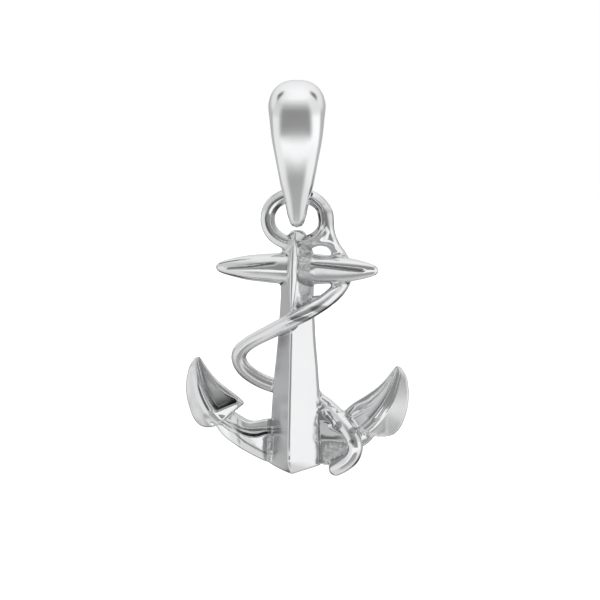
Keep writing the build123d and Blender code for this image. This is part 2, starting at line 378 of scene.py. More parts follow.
def round_cones(along, away, balls):
    """Distance to a row of balls on an axis, with cones drawn between neighbours."""
    result = np.full(along.shape, 9.0)
    for (a, ra), (b, rb) in zip(balls, balls[1:]):
        length = b - a
        lean = (ra - rb) / length
        upright = np.sqrt(1 - lean * lean)
        x = along - a
        k = x * upright - away * lean
        side = away * upright + x * lean - ra
        first = np.hypot(x, away) - ra
        last = np.hypot(x - length, away) - rb
        result = np.minimum(result, np.where(k < 0, first, np.where(k > upright * length, last, side)))
    return result


def eye_line(v, out):
    """1 in the middle of the fine line around the eye's front, and 0 away from it."""
    return band(out, 0, EYE_LINE_HALF) * (v < -0.2)


def eye_out(u, w):
    """Distance outward from the eye's middle line, an oval of four arcs in tangency."""
    x = np.abs(u)
    z = np.abs(w + EYE_HALF_HEIGHT)
    shift = EYE_HALF_WIDTH - EYE_SIDE_RADIUS
    gap = EYE_HALF_HEIGHT - EYE_SIDE_RADIUS
    drop = (shift**2 - gap**2) / (2 * gap)
    beside = drop * x - shift * (z + drop) > 0
    from_side = np.hypot(x - shift, z) - EYE_SIDE_RADIUS
    return np.where(beside, from_side, np.hypot(x, z + drop) - EYE_HALF_HEIGHT - drop)


def eye_distance(u, v, w):
    """The eye's wire, with three ground faces and a fine line in front."""
    out = eye_out(u, w)
    ground = np.full(out.shape, -9.0)
    for left, right, reach in EYE_FACES:
        angle = np.radians(np.where(u < 0, left, right))
        ground = np.maximum(ground, out * np.sin(angle) - v * np.cos(angle) - reach)
    wire = soft_max(ground, np.hypot(out, v) - EYE_WIRE / 2, EYE_ROUND)
    return wire + EYE_LINE_DEPTH * eye_line(v, out)


def shank_distance(u, v, w):
    """A tapering bar with a front ridge between two flat faces."""
    drops, halves, ridges, backs = columns(SHANK_SECTIONS)
    drop = (-w - SHANK_TOP) / SHANK_LENGTH
    half = SHANK_HALF_WIDTH * smooth(drop, drops, halves)
    ridge = SHANK_RIDGE * smooth(drop, drops, ridges)
    back = SHANK_BACK * smooth(drop, drops, backs)
    slant = np.hypot(half, ridge)
    right = (u * ridge - v * half - half * ridge) / slant
    left = (-u * ridge - v * half - half * ridge) / slant
    front = soft_max(right, left, EDGE_ROUND)
    sides = soft_max(np.abs(u) - half, v - back, SOFT_ROUND)
    body = soft_max(front, sides, SHANK_ROUND)
    keel = (np.abs(u) * sin(KEEL_RISE) - (w + CROWN_DROP) * cos(KEEL_RISE))
    return soft_max(body, soft_max(w + SHANK_TOP, keel, EDGE_ROUND), EDGE_ROUND)


def seam_share(u, v, w):
    """1 in the middle of the stock's mould line, and 0 away from it."""
    up = w + STOCK_DROP - smooth(u, *columns(STOCK_SEAM))
    along = ease(np.abs(u), 1.0, 1.4) * (1 - ease(np.abs(u), 4.4, 4.9))
    return along * (v < STOCK_SET_BACK) * band(up, 0, SEAM_HALF)


def stock_distance(u, v, w):
    """A round spindle with a mould line along its front, where its right half is
    ground flat."""
    outs, radii = columns(STOCK_SIZES)
    square = smooth(np.abs(u), outs, radii**2)
    past = np.maximum(np.abs(u) - STOCK_SIZES[-1][0], 0)
    away = (v - STOCK_SET_BACK) ** 2 + (w + STOCK_DROP) ** 2 - square
    radius = np.sqrt(np.maximum(square, 0.06))
    tilt, reach = STOCK_FACE
    ground = (STOCK_SET_BACK - v) * cos(tilt) - (w + STOCK_DROP) * sin(tilt) - reach * radius
    ground = ground - 0.5 * (1 - ease(u, 0.9, 1.6))
    bar = soft_max(away / (2 * radius), ground, STOCK_FACE_ROUND)
    return bar + past + SEAM_DEPTH * seam_share(u, v, w)


def bead_distance(u, v, w):
    """The raised leaf on the shank's ridge, from the eye to the rope."""
    drops, _, ridges, _ = columns(SHANK_SECTIONS)
    ends = np.array([BEAD_TOP, BEAD_TOP + BEAD_LENGTH]) / SHANK_LENGTH
    fronts = SHANK_RIDGE * smooth(ends, drops, ridges) + BEAD_RISE
    run = hypot(BEAD_LENGTH, fronts[1] - fronts[0])
    down = -(w + SHANK_TOP + BEAD_TOP)
    out = -v - fronts[0]
    lean = (fronts[1] - fronts[0]) / run
    drop = BEAD_LENGTH / run
    along = down * drop + out * lean
    away = (np.abs(out * drop - down * lean) ** BEAD_POWER + np.abs(u) ** BEAD_POWER) ** (1 / BEAD_POWER)
    return round_cones(along, away, [(share * run, radius) for share, radius in BEAD_BALLS])


def arm_front(x, up, low, high, cut):
    """How far the front of an arm stands forward, from its bevel to its grooves, where
    it is cut with them."""
    outs, bevels, grooves, uppers = columns(ARM_LINES)
    bevel = smooth(x, outs, bevels)
    groove = smooth(x, outs, grooves)
    upper = smooth(x, outs, uppers)
    edge, ridge, top, roll, lip = ARM_FRONTS
    rows = [(low, edge), (bevel, ridge), (groove, top), (upper, roll), (high, lip)]
    front = np.full(x.shape, edge)
    for (start, a), (end, b) in zip(rows, rows[1:]):
        share = np.clip((up - start) / np.maximum(end - start, 0.05), 0, 1)
        front = np.where(up > start, a + (b - a) * share, front)
    for middle, (depth, half, _) in zip((bevel, groove, upper), ARM_GROOVES):
        front = front - depth * band(up, middle, half)
    across = np.clip((up - low) / (high - low), 0, 1)
    return np.where(cut > 0, front, edge + (top - edge) * (1 - (2 * across - 1) ** 2))


def arm_distance(x, v, up, start, root, cut):
    """One arm, out to the fluke; x runs outward and up from the crown. Before start
    its front is lower, by the share root, and it has grooves where it is cut."""
    outs, lows, highs = columns(ARM_OUTLINE)
    low = ARM_RISE * smooth(x / ARM_REACH, outs, lows)
    high = ARM_RISE * smooth(x / ARM_REACH, outs, highs)
    nudge = 0.02
    low_slope = (ARM_RISE * smooth((x + nudge) / ARM_REACH, outs, lows) - low) / nudge
    high_slope = (ARM_RISE * smooth((x + nudge) / ARM_REACH, outs, highs) - high) / nudge
    full = root + (1 - root) * ease(x, start, start + ARM_STEP)
    full = full * smooth(x, *columns(ARM_DEPTHS))
    front = arm_front(x, up, low, high, cut) * full
    rise = (arm_front(x, up + nudge, low, high, cut) * full - front) / nudge
    across = (up - low) / (high - low)
    before = (-v - front) / np.sqrt(1 + np.minimum(rise**2, 4))
    behind = v - ARM_BACK * (1 - (2 * across - 1) ** 2 * 0.6)
    above = (up - high) / np.sqrt(1 + high_slope**2)
    below = (low - up) / np.sqrt(1 + low_slope**2)
    outline = np.maximum(above, below)
    outline = np.maximum(outline, x - ARM_REACH * outs[-1])
    return soft_max(soft_max(before, behind, EDGE_ROUND), outline, EDGE_ROUND)


def fluke_place(x, up):
    """Where a point is on a fluke: its share of the way from base to tip, how far
    it is across, and the edges and ridge there."""
    ahead = x - ARM_REACH
    above = up - ARM_RISE
    along = ahead * sin(FLUKE_SPLAY) + above * cos(FLUKE_SPLAY)
    across = ahead * cos(FLUKE_SPLAY) - above * sin(FLUKE_SPLAY)
    places, outers, ridges, inners, depths = columns(FLUKE_SECTIONS)
    place = along / FLUKE_LENGTH
    edges = [FLUKE_HALF_BREADTH * smooth(place, places, shares) for shares in (outers, ridges, inners)]
    return place, across, *edges, smooth(place, places, depths)


def past_pocket(place, share, start, end):
    """0 in a fluke's hollow and 1 past its inner wall, which runs from start to end."""
    wider = POCKET_WIDENING * (1 - ease(place, 0.08, 0.30))
    return ease(share, start + wider, end + wider)


def ridge_cuts(place, from_ridge, depth, left):
    """How deep the line beside a fluke's ridge and the streak along it are cut."""
    line = RIDGE_LINE_DEPTH * band(from_ridge, 0.9 * RIDGE_HALF * depth, RIDGE_CUT_HALF)
    line = line * np.where(left, ease(place, RIM_PLACE - 0.02, RIM_PLACE + 0.06), 1.0)
    streak = ease(place, 0.06, 0.14) * (1 - ease(place, 0.50, 0.70))
    streak = RIDGE_STREAK_DEPTH * streak * band(from_ridge, -0.1 * RIDGE_HALF * depth, RIDGE_CUT_HALF)
    return line + streak


def rim_fall(place, out_share, in_share):
    """How far the left fluke's front falls back at its rim."""
    fall = RIM_SLOPE * FLUKE_LENGTH * np.maximum(RIM_PLACE - place, 0)
    fall = fall - RIM_LIFT * (1 - ease(place, RIM_PLACE, RIM_PLACE + 0.03))
    return fall * (0.8 + 0.2 * ease(in_share, 0.0, 0.25)) * (1 - ease(out_share, 0.0, 0.35))


def fluke_distance(x, v, up, left):
    """An arrow head with a rounded ridge in front, and hollow on its inner side. The
    left one's hollow ends at a rim, and the right one's runs out into the arm."""
    place, across, outer, ridge, inner, depth = fluke_place(x, up)
    crest = FLUKE_FRONT * depth
    edge = FLUKE_EDGE * (0.4 + 0.6 * depth)
    from_ridge = across - ridge
    on_outer = from_ridge > 0
    half = RIDGE_HALF * depth
    out_share = np.maximum(from_ridge - half, 0) / (outer - ridge - half)
    in_share = np.maximum(-from_ridge - half, 0) / (ridge - inner - half)
    pocket = POCKET_DEPTH * depth * ease(in_share, 0.0, 0.16)
    pocket = pocket * (1 - past_pocket(place, in_share, *POCKET_WALL))
    pocket = pocket * np.where(left, ease(place, RIM_PLACE - 0.03, RIM_PLACE + 0.07), 0.75)
    round_off = RIDGE_CROWN * (from_ridge / RIDGE_HALF) ** 2
    top = crest - np.minimum(round_off, RIDGE_CROWN * depth)
    top = top - ridge_cuts(place, from_ridge, depth, left) * depth
    top = top - left * rim_fall(place, out_share, in_share)
    outer_front = (crest + FLUKE_SET_BACK) * out_share
    inner_front = (crest - edge) * np.minimum(in_share, BORDER_START) + pocket
    slope = np.where(on_outer, (crest + FLUKE_SET_BACK) / (outer - ridge), crest / (ridge - inner))
    front = (-v - (top - outer_front - inner_front)) / np.hypot(1, slope)
    back_share = np.where(on_outer, out_share, in_share)
    back = v - FLUKE_BACK * depth * (1 - back_share) - edge * back_share
    outline = np.maximum(across - outer, inner - across)
    outline = np.maximum(outline, (place - 1) * FLUKE_LENGTH)
    body = soft_max(soft_max(front, back, EDGE_ROUND), outline, EDGE_ROUND)
    ledge = FLUKE_LENGTH * smooth(across / FLUKE_HALF_BREADTH, *columns(FLUKE_BASE))
    ledge = ledge - np.where(left, 0, RIGHT_RUN_OUT) * ease(ridge - across, 0.1, 0.9)
    base = (ledge + FLUKE_BASE_RAKE * v - place * FLUKE_LENGTH) / hypot(1, FLUKE_BASE_RAKE)
    return soft_max(body, base, SOFT_ROUND)


def lean_arms(u, w):
    """Across and up from the crown, undoing the arms' small lean about it."""
    up = w + CROWN_DROP
    return u * cos(ARMS_LEAN) - up * sin(ARMS_LEAN), u * sin(ARMS_LEAN) + up * cos(ARMS_LEAN)


def limbs_distance(u, v, w):
    """Both arms with their flukes, leaned a little about the crown."""
    leaned, up = lean_arms(u, w)
    x = np.abs(leaned)
    notch = NOTCH_START - ARM_STARTS[0]
    start = ARM_STARTS[0] + notch * (1 - ease(up, *NOTCH_TOP))
    start = np.where(leaned > 0, ARM_STARTS[1], start)
    left = leaned < 0
    arm = arm_distance(x, v, up, start, np.where(left, *ARM_ROOTS), np.where(left, 1.0, 0.0))
    fluke = fluke_distance(x, v, up, left)
    return soft_min(arm, fluke, np.where(left, *FLUKE_FILLETS))


def rope_line():
    """Points along the rope, each with its radius, on a curve that the course's
    straight runs touch halfway."""
    outs, drops, fronts, radii = columns(ROPE_COURSE)
    course = np.stack([SHANK_HALF_WIDTH * outs, -SHANK_RIDGE * fronts, -CROWN_DROP * drops, radii], 1)
    middles = (course[1:] + course[:-1]) / 2
    rows = [course[:1]]
    t = np.linspace(0, 1, 7)[1:, None]
    for before, corner, after in zip(middles, course[1:-1], middles[1:]):
        rows.append((1 - t) ** 2 * before + 2 * t * (1 - t) * corner + t**2 * after)
    rows.append(course[-1:])
    line = np.concatenate(rows)
    return line[:, :3], line[:, 3]


ROPE_POINTS, ROPE_RADII = rope_line()


def rope_distance(u, v, w):
    """Distance to the rope, worked out only near it, a few runs at a time."""
    place = np.stack([u, v, w], 1)
    result = np.full(len(place), 0.6)
    runs = 7
    for start in range(0, len(ROPE_POINTS) - 1, runs):
        nodes = ROPE_POINTS[start:start + runs + 1]
        radii = ROPE_RADII[start:start + runs + 1]
        near = np.all((place > nodes.min(0) - 1.1) & (place < nodes.max(0) + 1.1), axis=1)
        if not near.any():
            continue
        here = place[near]
        best = np.full(len(here), 0.6)
        for a, b, ra, rb in zip(nodes, nodes[1:], radii, radii[1:]):
            step = b - a
            t = np.clip((here - a) @ step / (step @ step), 0, 1)
            gap = np.linalg.norm(here - a - t[:, None] * step, axis=1)
            best = np.minimum(best, gap - (ra + (rb - ra) * t))
        result[near] = np.minimum(result[near], best)
    return result


def web_distance(u, v, w):
    """The web that fills the corner between the shank and the rope's end. Below a
    step it is deeper, with the dots of the rough casting."""
    x = (u - WEB_PLACE[0]) / WEB_SIZE[0]
    z = (w - WEB_PLACE[1]) / WEB_SIZE[1]
    around = (np.hypot(x, z) - 1) * WEB_SIZE[0]
    upper = ease(w, WEB_STEP - 0.06, WEB_STEP + 0.10)
    height, apart = WEB_DOTS
    dots = height * np.sin(2 * np.pi * u / apart) * np.sin(2 * np.pi * w / apart)
    front = WEB_FRONTS[1] + (WEB_FRONTS[0] - WEB_FRONTS[1]) * upper + dots * (1 - upper)
    front = front - WEB_BOWL * np.maximum(1 - x * x - z * z, 0)
    return soft_max(around, np.maximum(-v - front, v - WEB_BACK), EDGE_ROUND)


def ovoid_reach(points, place, size):
    """How far out points are in an ellipsoid, with 1 on its surface."""
    return np.linalg.norm((points - place) / size, axis=1)


def ovoid_distance(points, place, size):
    return (ovoid_reach(points, place, size) - 1) * min(size)


def hand_wobble(points):
    """The slight waves that polishing by hand leaves on every face."""
    total = np.zeros(len(points))
    for size, wave in WOBBLE:
        ways = points @ WOBBLE_WAYS.T * (2 * np.pi / wave)
        total += size * np.sin(ways[:, 0] + 2 * np.sin(ways[:, 1])) * np.cos(ways[:, 2])
    size, wave = CAST_WOBBLE
    ways = points @ WOBBLE_WAYS.T * (2 * np.pi / wave)
    return total + size * shell_share(points, CAST_PLACES) * np.sin(ways[:, 0] + 2 * np.sin(ways[:, 1]))


def anchor_distance(points):
    """Signed distance to the whole casting, in its own upright frame."""
    u, v, w = points.T
    groove = ovoid_distance(points, GROOVE_PLACE, GROOVE_SIZE)
    shank = soft_max(shank_distance(u, v, w), -groove, EDGE_ROUND)
    body = soft_min(shank, stock_distance(u, v, w), FILLET)
    body = soft_min(body, eye_distance(u, v, w), FILLET)
    body = soft_min(body, bead_distance(u, v, w), BEAD_FILLET)
    limb_fillet = FILLET * (0.2 + 0.8 * ease(np.abs(u), 1.8, 2.8))
    body = soft_min(body, limbs_distance(u, v, w), limb_fillet)
    body = soft_min(body, web_distance(u, v, w), WEB_FILLET)
    fillers = np.min([ovoid_distance(points, *filler) for filler in FILLERS], axis=0)
    body = soft_min(body, fillers, FILLET)
    return soft_min(body, rope_distance(u, v, w), ROPE_FILLET) + hand_wobble(points)


def shell_share(points, places):
    """1 well inside any of some ellipsoids, and 0 outside them."""
    share = np.zeros(len(points))
    for place, size in places:
        share = np.maximum(share, 1 - ease(ovoid_reach(points, place, size), 0.75, 1.05))
    return share


def crease_share(points):
    """1 in the corners where two forms of the casting meet, and 0 away from them."""
    u, v, w = points.T
    others = [stock_distance, eye_distance, bead_distance, limbs_distance]
    shank, web, rope = shank_distance(u, v, w), web_distance(u, v, w), rope_distance(u, v, w)
    distances = np.sort([shank, web, rope, *[form(u, v, w) for form in others]], axis=0)
    on_facet = (shank < 0.03) & (w < -9.5) & (rope > 0.06)
    on_web = (web < 0.2) & (rope > 0.1) & (shank > 0.1)
    return (1 - ease(distances[1], *CREASE_REACH)) * ~on_facet * np.where(on_web, 0.2, 1.0)


def satin_share(points, crease):
    """Where the shank's broad faces, the rope's loop, the stock's ground face and the
    flukes' outer faces are left satin."""
    u, v, w = points.T
    left, right = SHANK_SATIN
    shank = (shank_distance(u, v, w) < 0.05) * (1 - crease) * ease(-w, 3.0, 6.0)
    shank = shank * (left + (right - left) * ease(u, -0.2, 0.2))
    loop = ease(-u, 0.9, 2.0) * ease(-w, 9.5, 11.0) * (1 - ease(-w, 14.0, 15.0))
    loop = LOOP_SATIN * loop * (rope_distance(u, v, w) < 0.1)
    stock = (stock_distance(u, v, w) < 0.05) * (1 - crease) * ease(u, 0.9, 1.6)
    stock = STOCK_SATIN * stock * ease(-v, 0.2, 0.4) * ease(-(w + STOCK_DROP), -0.25, 0.0)
    leaned, up = lean_arms(u, w)
    place, across, _, ridge, _, _ = fluke_place(np.abs(leaned), up)
    fluke = ease(place, -0.10, 0.0) * ease(across - ridge, RIDGE_HALF, RIDGE_HALF + 0.15)
    fluke = np.where(leaned < 0, *FLUKE_SATIN) * fluke
    return np.maximum.reduce([shank, loop, stock, fluke])


def side_share(normals):
    """1 where a face looks sideways out of the casting, where the wheel hasn't reached."""
    return 1 - ease(np.abs(normals[:, 1]), 0.30, 0.68)


def fluke_painted_shade(place, across, ridge, inner, depth, left):
    """The painted shade in a fluke's hollow, and the painted dark reflection streak on the left one's
    ridge.
    """
    share = (ridge - RIDGE_HALF - across) / (ridge - RIDGE_HALF - inner)
    # Painted shade: low in the left hollow, and along the walls of both hollows
    low = 1 - ease(place, 0.05, 0.42)
    wall = WALL_PAINTED_SHADE * (1 - ease(share, 0.10, 0.35))
    hollow = np.where(left, np.maximum(low, wall), 0.8 * wall)
    hollow = hollow * ease(share, 0.02, 0.10) * (1 - past_pocket(place, share, 0.66, 0.80))
    hollow = hollow * ease(place, 0.04, 0.09) * (1 - ease(place, 0.80, 0.95))
    # A painted dark reflection along the left fluke's ridge
    streak = STREAK_PAINTED_REFLECTION * band(across, ridge, 0.07 * depth) * left
    return hollow, streak * ease(place, 0.08, 0.20) * (1 - ease(place, 0.45, 0.70))


def painted_shade_share(points, crease):
    """How dark the silver is painted, with painted shade and painted dark reflections, in all the places
    where it is.
    """
    u, v, w = points.T
    leaned, up = lean_arms(u, w)
    x = np.abs(leaned)
    left = leaned < 0
    place, across, _, ridge, inner, depth = fluke_place(x, up)
    hollow, streak = fluke_painted_shade(place, across, ridge, inner, depth, left)
    # Painted dark reflection lines along the left arm's grooves
    outs, *grooves = columns(ARM_LINES)
    lines = np.zeros(len(points))
    for heights, (_, half, dark) in zip(grooves, ARM_GROOVES):
        middle = smooth(x, outs, heights) + 0.1 * half
        lines = np.maximum(lines, dark * band(up, middle, 0.8 * half))
    on_arm = left & (x > ARM_STARTS[0]) & (place < -0.06) & ((x < 4.2) | (v > -0.55))
    lines = lines * on_arm * ease(-v, 0.2, 0.4)
    # A painted dark reflection line along the stock's mould line
    seam = SEAM_PAINTED_REFLECTION * seam_share(u, v, w) * (1 - crease)
    # A painted dark reflection along the eye's fine line, fading out at the ring's bottom
    ring = eye_line(v, eye_out(u, w)) * (eye_distance(u, v, w) < 0.05)
    ring = EYE_LINE_PAINTED_REFLECTION * ring * ease(w, -3.2, -2.2) * (1 - crease)
    # Painted dark reflections on the rope
    rope = ROPE_PAINTED_REFLECTION * shell_share(points, PAINTED_REFLECTION_PLACES) * (rope_distance(u, v, w) < 0.05)
    # Painted shade in the web's bowl above its step
    web = WEB_PAINTED_SHADE * (web_distance(u, v, w) < 0.04) * ease(w, WEB_STEP, WEB_STEP + 0.2)
    # The last share is painted shade in the corners where forms meet
    shares = [hollow, streak * (v < -0.3), lines, seam, ring, rope, web, CREASE_PAINTED_SHADE * crease]
    return np.maximum.reduce(shares)


FOUR_WAYS = np.array([(1, -1, -1), (-1, -1, 1), (-1, 1, -1), (1, 1, 1)], float)


def level_and_slope(field, points, nudge=0.010):
    """The field and its gradient at points, from four samples around each."""
    level = np.zeros(len(points))
    slope = np.zeros(points.shape)
    for way in FOUR_WAYS:
        sample = field(points + way * nudge)
        level += sample / 4
        slope += sample[:, None] * way / (4 * nudge)
    return level, slope


def sample_grid(field, low, counts, step):
    """The field on a grid, worked out only in blocks that the surface may cross."""
    block = GRID_BLOCK
    blocks = np.indices(counts // block).reshape(3, -1).T
    coarse = field(low + (blocks * block + (block - 1) / 2) * step)
    values = coarse.reshape(counts // block)
    for axis in range(3):
        values = np.repeat(values, block, axis)
    near = np.abs(coarse) < 1.8 * block * step
    offsets = np.indices((block,) * 3).reshape(3, -1).T
    cells = (blocks[near][:, None] * block + offsets).reshape(-1, 3)
    values[tuple(cells.T)] = field(low + cells * step)
    return values


def surface_net(values, low, step):
    """Points in the cells that the zero level crosses, and quads between them."""
    inside = values < 0
    total = np.zeros(np.array(values.shape) - 1)
    place = np.zeros((*total.shape, 3))
    edges = []
    for axis in range(3):
        ahead = np.eye(3, dtype=int)[axis]
        count = inside.shape[axis] - 1
        changes = inside.take(range(count), axis) != inside.take(range(1, count + 1), axis)
        first = np.argwhere(changes)
        second = first + ahead
        va, vb = values[tuple(first.T)], values[tuple(second.T)]
        point = first + ahead * (va / (va - vb))[:, None]
        one, two = [other for other in range(3) if other != axis]
        around = []
        for di, dj in ((0, 0), (1, 0), (1, 1), (0, 1)):
            cell = first.copy()
            cell[:, one] -= di
            cell[:, two] -= dj
            np.add.at(place, tuple(cell.T), point)
            np.add.at(total, tuple(cell.T), 1)
            around.append(cell)
        edges.append((around, (va < 0) ^ (axis == 1)))
    used = total > 0
    number = np.full(total.shape, -1)
    number[used] = np.arange(used.sum())
    points = low + place[used] / total[used][:, None] * step
    quads = []
    for around, flip in edges:
        quad = np.stack([number[tuple(cell.T)] for cell in around], 1)
        quads.append(np.where(flip[:, None], quad, quad[:, ::-1]))
    return points, np.concatenate(quads)


def fit_net(field, points, quads, step, rounds=2):
    """Moves net points onto the surface, evening out their spacing as they go."""
    pairs = np.concatenate([quads[:, [i, (i + 1) % 4]] for i in range(4)])
    pairs = np.concatenate([pairs, pairs[:, ::-1]])
    links = np.bincount(pairs[:, 0], minlength=len(points))
    for turn in range(rounds + 1):
        for _ in range(2):
            level, slope = level_and_slope(field, points)
            square = np.maximum((slope**2).sum(1), 0.2)
            move = -level[:, None] * slope / square[:, None]
            points = points + np.clip(move, -step / 2, step / 2)
        if turn < rounds:
            normal = slope / np.linalg.norm(slope, axis=1, keepdims=True)
            ends = points[pairs[:, 1]].T
            middle = [np.bincount(pairs[:, 0], end, len(points)) / links for end in ends]
            shift = np.stack(middle, 1) - points
            points = points + 0.6 * (shift - (shift * normal).sum(1, keepdims=True) * normal)
    _, slope = level_and_slope(field, points)
    return points, slope / np.linalg.norm(slope, axis=1, keepdims=True)


def hang_anchor(vectors):
    """Turns vectors from the casting's own frame as it hangs in the bail."""
    roll = Matrix.Rotation(ANCHOR_ROLL, 3, "Y")
    twist = Matrix.Rotation(-ANCHOR_TWIST, 3, "Z")
    return vectors @ np.array(twist @ roll).T


def new_mesh(name, points, faces, normals=None):
    mesh = bpy.data.meshes.new(name)
    mesh.from_pydata((points * MM).tolist(), [], [tuple(face) for face in faces])
    mesh.validate()
    mesh.shade_smooth()
    if normals is not None:
        mesh.normals_split_custom_set_from_vertices(normals.tolist())
    mesh.update()
    piece = bpy.data.objects.new(name, mesh)
    bpy.context.collection.objects.link(piece)
    return piece


def add_share(piece, name, values):
    """Keeps a share from 0 to 1 at each point, for the material to read."""
    layer = piece.data.attributes.new(name, "FLOAT", "POINT")
    layer.data.foreach_set("value", values.astype(np.float32))


def make_anchor():
    low = np.array([-7.9, -2.1, -CROWN_DROP - 0.6])
    high = np.array([7.9, 2.2, 0.75])
    step = GRID_STEP * 1
    counts = (np.ceil((high - low) / step / GRID_BLOCK).astype(int) + 1) * GRID_BLOCK
    values = sample_grid(anchor_distance, low, counts, step)
    points, quads = surface_net(values, low, step)
    points, normals = fit_net(anchor_distance, points, quads, step)
    placed = hang_anchor(points) + np.array([0, 0, -PIVOT_DROP])
    piece = new_mesh("anchor_casting", placed, quads, hang_anchor(normals))
    crease = crease_share(points)
    add_share(piece, "satin", np.maximum(satin_share(points, crease), SIDE_SATIN * side_share(normals)))
    add_share(piece, "rough_cast", shell_share(points, CAST_PLACES))
    # Painted shade and painted dark reflections, for the material to darken the silver with
    add_share(piece, "painted_shade_and_reflection", painted_shade_share(points, crease))
    return piece


# The bail, a strip whose leaves taper from a broad crown to tips that are soldered
# together. Under its dome it is hollow, by no less than a share of the dome's rise.
# The back leaf's dome is flatter by a share, to leave room for the eye to swing.
BAIL_HEIGHT = 9.75
BAIL_WIDTH = 3.75
BAIL_TOP_RADIUS = 2.62
BAIL_SHOULDER_SHARE = 0.849
BAIL_TIP_HALF_DEPTH = 0.56
CROWN_DOME = 1.50
LEAF_EDGE = 0.35
LEAF_TIP_EDGE = 0.11
LEAF_WALL = 0.62
LEAF_TIP_WALL = 0.33
FRONT_LEAF_SHORTFALL = 0.26
BACK_LEAF_FLATTER = 0.28
LEAST_HOLLOW = 0.2

CREST_Z = CROWN_DOME + LEAF_EDGE
BAIL_TIP_Z = CREST_Z - BAIL_HEIGHT
TOP_CENTRE_Z = CREST_Z - BAIL_TOP_RADIUS
LEAF_FALL = TOP_CENTRE_Z - BAIL_TIP_Z
LEAF_DRAW = BAIL_TOP_RADIUS - BAIL_TIP_HALF_DEPTH
BAIL_SHOULDER_RADIUS = BAIL_SHOULDER_SHARE * hypot(LEAF_DRAW, LEAF_FALL) ** 2 / (2 * LEAF_DRAW)

TIP_WEB_HEIGHT = 1.38
TIP_WEB_SADDLE_RISE = 0.375
TIP_WEB_WIDTH_SHARE = 0.9
DOME_EDGE_SHARE = 0.92
CORNER_ROUND = 0.10

# Sections of one leaf. Place runs from 0 at the crown to 1 at the shoulder's
# start, 2 at the leaf's start and 3 at its tip. Power is 2 for a round section
# and greater for one that is flat across with round edges. Lift is how far the
# crest stands out beyond the leaf's line.
LEAF_SECTIONS = [
    # place, breadth, dome, thin, power, lift
    (0.00, 1.000, 1.00, 0.0, 2.5, 0.00),
    (0.40, 1.005, 0.90, 0.0, 2.4, 0.00),
    (0.80, 0.985, 0.74, 0.1, 2.4, 0.00),
    (1.30, 0.880, 0.60, 0.3, 2.5, 0.00),
    (1.65, 0.730, 0.59, 0.7, 2.1, 0.03),
    (2.00, 0.580, 0.64, 1.0, 2.0, 0.09),
    (2.50, 0.405, 0.66, 1.0, 1.9, 0.09),
    (2.81, 0.300, 0.60, 1.0, 1.9, 0.05),
    (2.93, 0.215, 0.52, 1.0, 2.0, 0.02),
    (2.985, 0.110, 0.50, 1.0, 2.0, 0.00),
    (3.00, 0.030, 0.50, 1.0, 2.0, 0.00),
]


def leaf_line():
    """Where the shoulder's arc ends and the straight leaf starts, with its slope."""
    centre_out = BAIL_TOP_RADIUS - BAIL_SHOULDER_RADIUS
    out = BAIL_TIP_HALF_DEPTH - centre_out
    turn = atan2(LEAF_FALL, out) - acos(BAIL_SHOULDER_RADIUS / hypot(out, LEAF_FALL))
    start_out = centre_out + BAIL_SHOULDER_RADIUS * cos(turn)
    return turn, start_out, TOP_CENTRE_Z - BAIL_SHOULDER_RADIUS * sin(turn)


def leaf_place(place, shortfall):
    """Outward distance, height and the crest's outward slope below the level."""
    slope, start_out, start_z = leaf_line()
    if place <= 1:
        up = radians(90) * (1 - place)
        return BAIL_TOP_RADIUS * cos(up), TOP_CENTRE_Z + BAIL_TOP_RADIUS * sin(up), -up
    if place <= 2:
        turn = slope * (place - 1)
        out = BAIL_TOP_RADIUS + BAIL_SHOULDER_RADIUS * (cos(turn) - 1)
        return out, TOP_CENTRE_Z - BAIL_SHOULDER_RADIUS * sin(turn), turn
    share = (place - 2) * (1 - shortfall / (start_z - BAIL_TIP_Z))
    out = start_out + (BAIL_TIP_HALF_DEPTH - start_out) * share
    return out, start_z + (BAIL_TIP_Z - start_z) * share, slope


def dome_fall(t, power):
    """How far a dome has fallen at t from its middle, as a share of its rise."""
    steep = 1 - (1 - DOME_EDGE_SHARE) ** (1 / power)
    return (1 - (1 - DOME_EDGE_SHARE * np.abs(t) ** power) ** (1 / power)) / steep


def bend(start, corner, end):
    """Points on a curve from start to end that is drawn towards the corner."""
    t = np.linspace(0, 1, 5)[:, None]
    return (1 - t) ** 2 * start + 2 * t * (1 - t) * corner + t**2 * end


def leaf_ring(half, rise, edge, wall, power):
    """A section across the strip: over its dome, round an edge and back inside."""
    hollow = max(rise + edge - wall, LEAST_HOLLOW * rise)
    corner = min(CORNER_ROUND, half / 3, edge * 0.45)
    t = np.sin(np.linspace(-1, 1, 33) * np.pi / 2) * (1 - corner / half)
    outer = np.stack([half * t, -rise * dome_fall(t, power)], 1)
    inner = np.stack([half * t, -rise - edge + hollow * (1 - dome_fall(t, 2.0))], 1)
    rim = np.array([half, -rise])
    foot = np.array([half, -rise - edge])
    down = np.array([0, corner])
    right = np.concatenate([bend(outer[-1], rim, rim - down), bend(foot + down, foot, inner[-1])])
    left = right[::-1] * np.array([-1, 1])
    return np.concatenate([outer[1:-1], right, inner[::-1][1:-1], left])


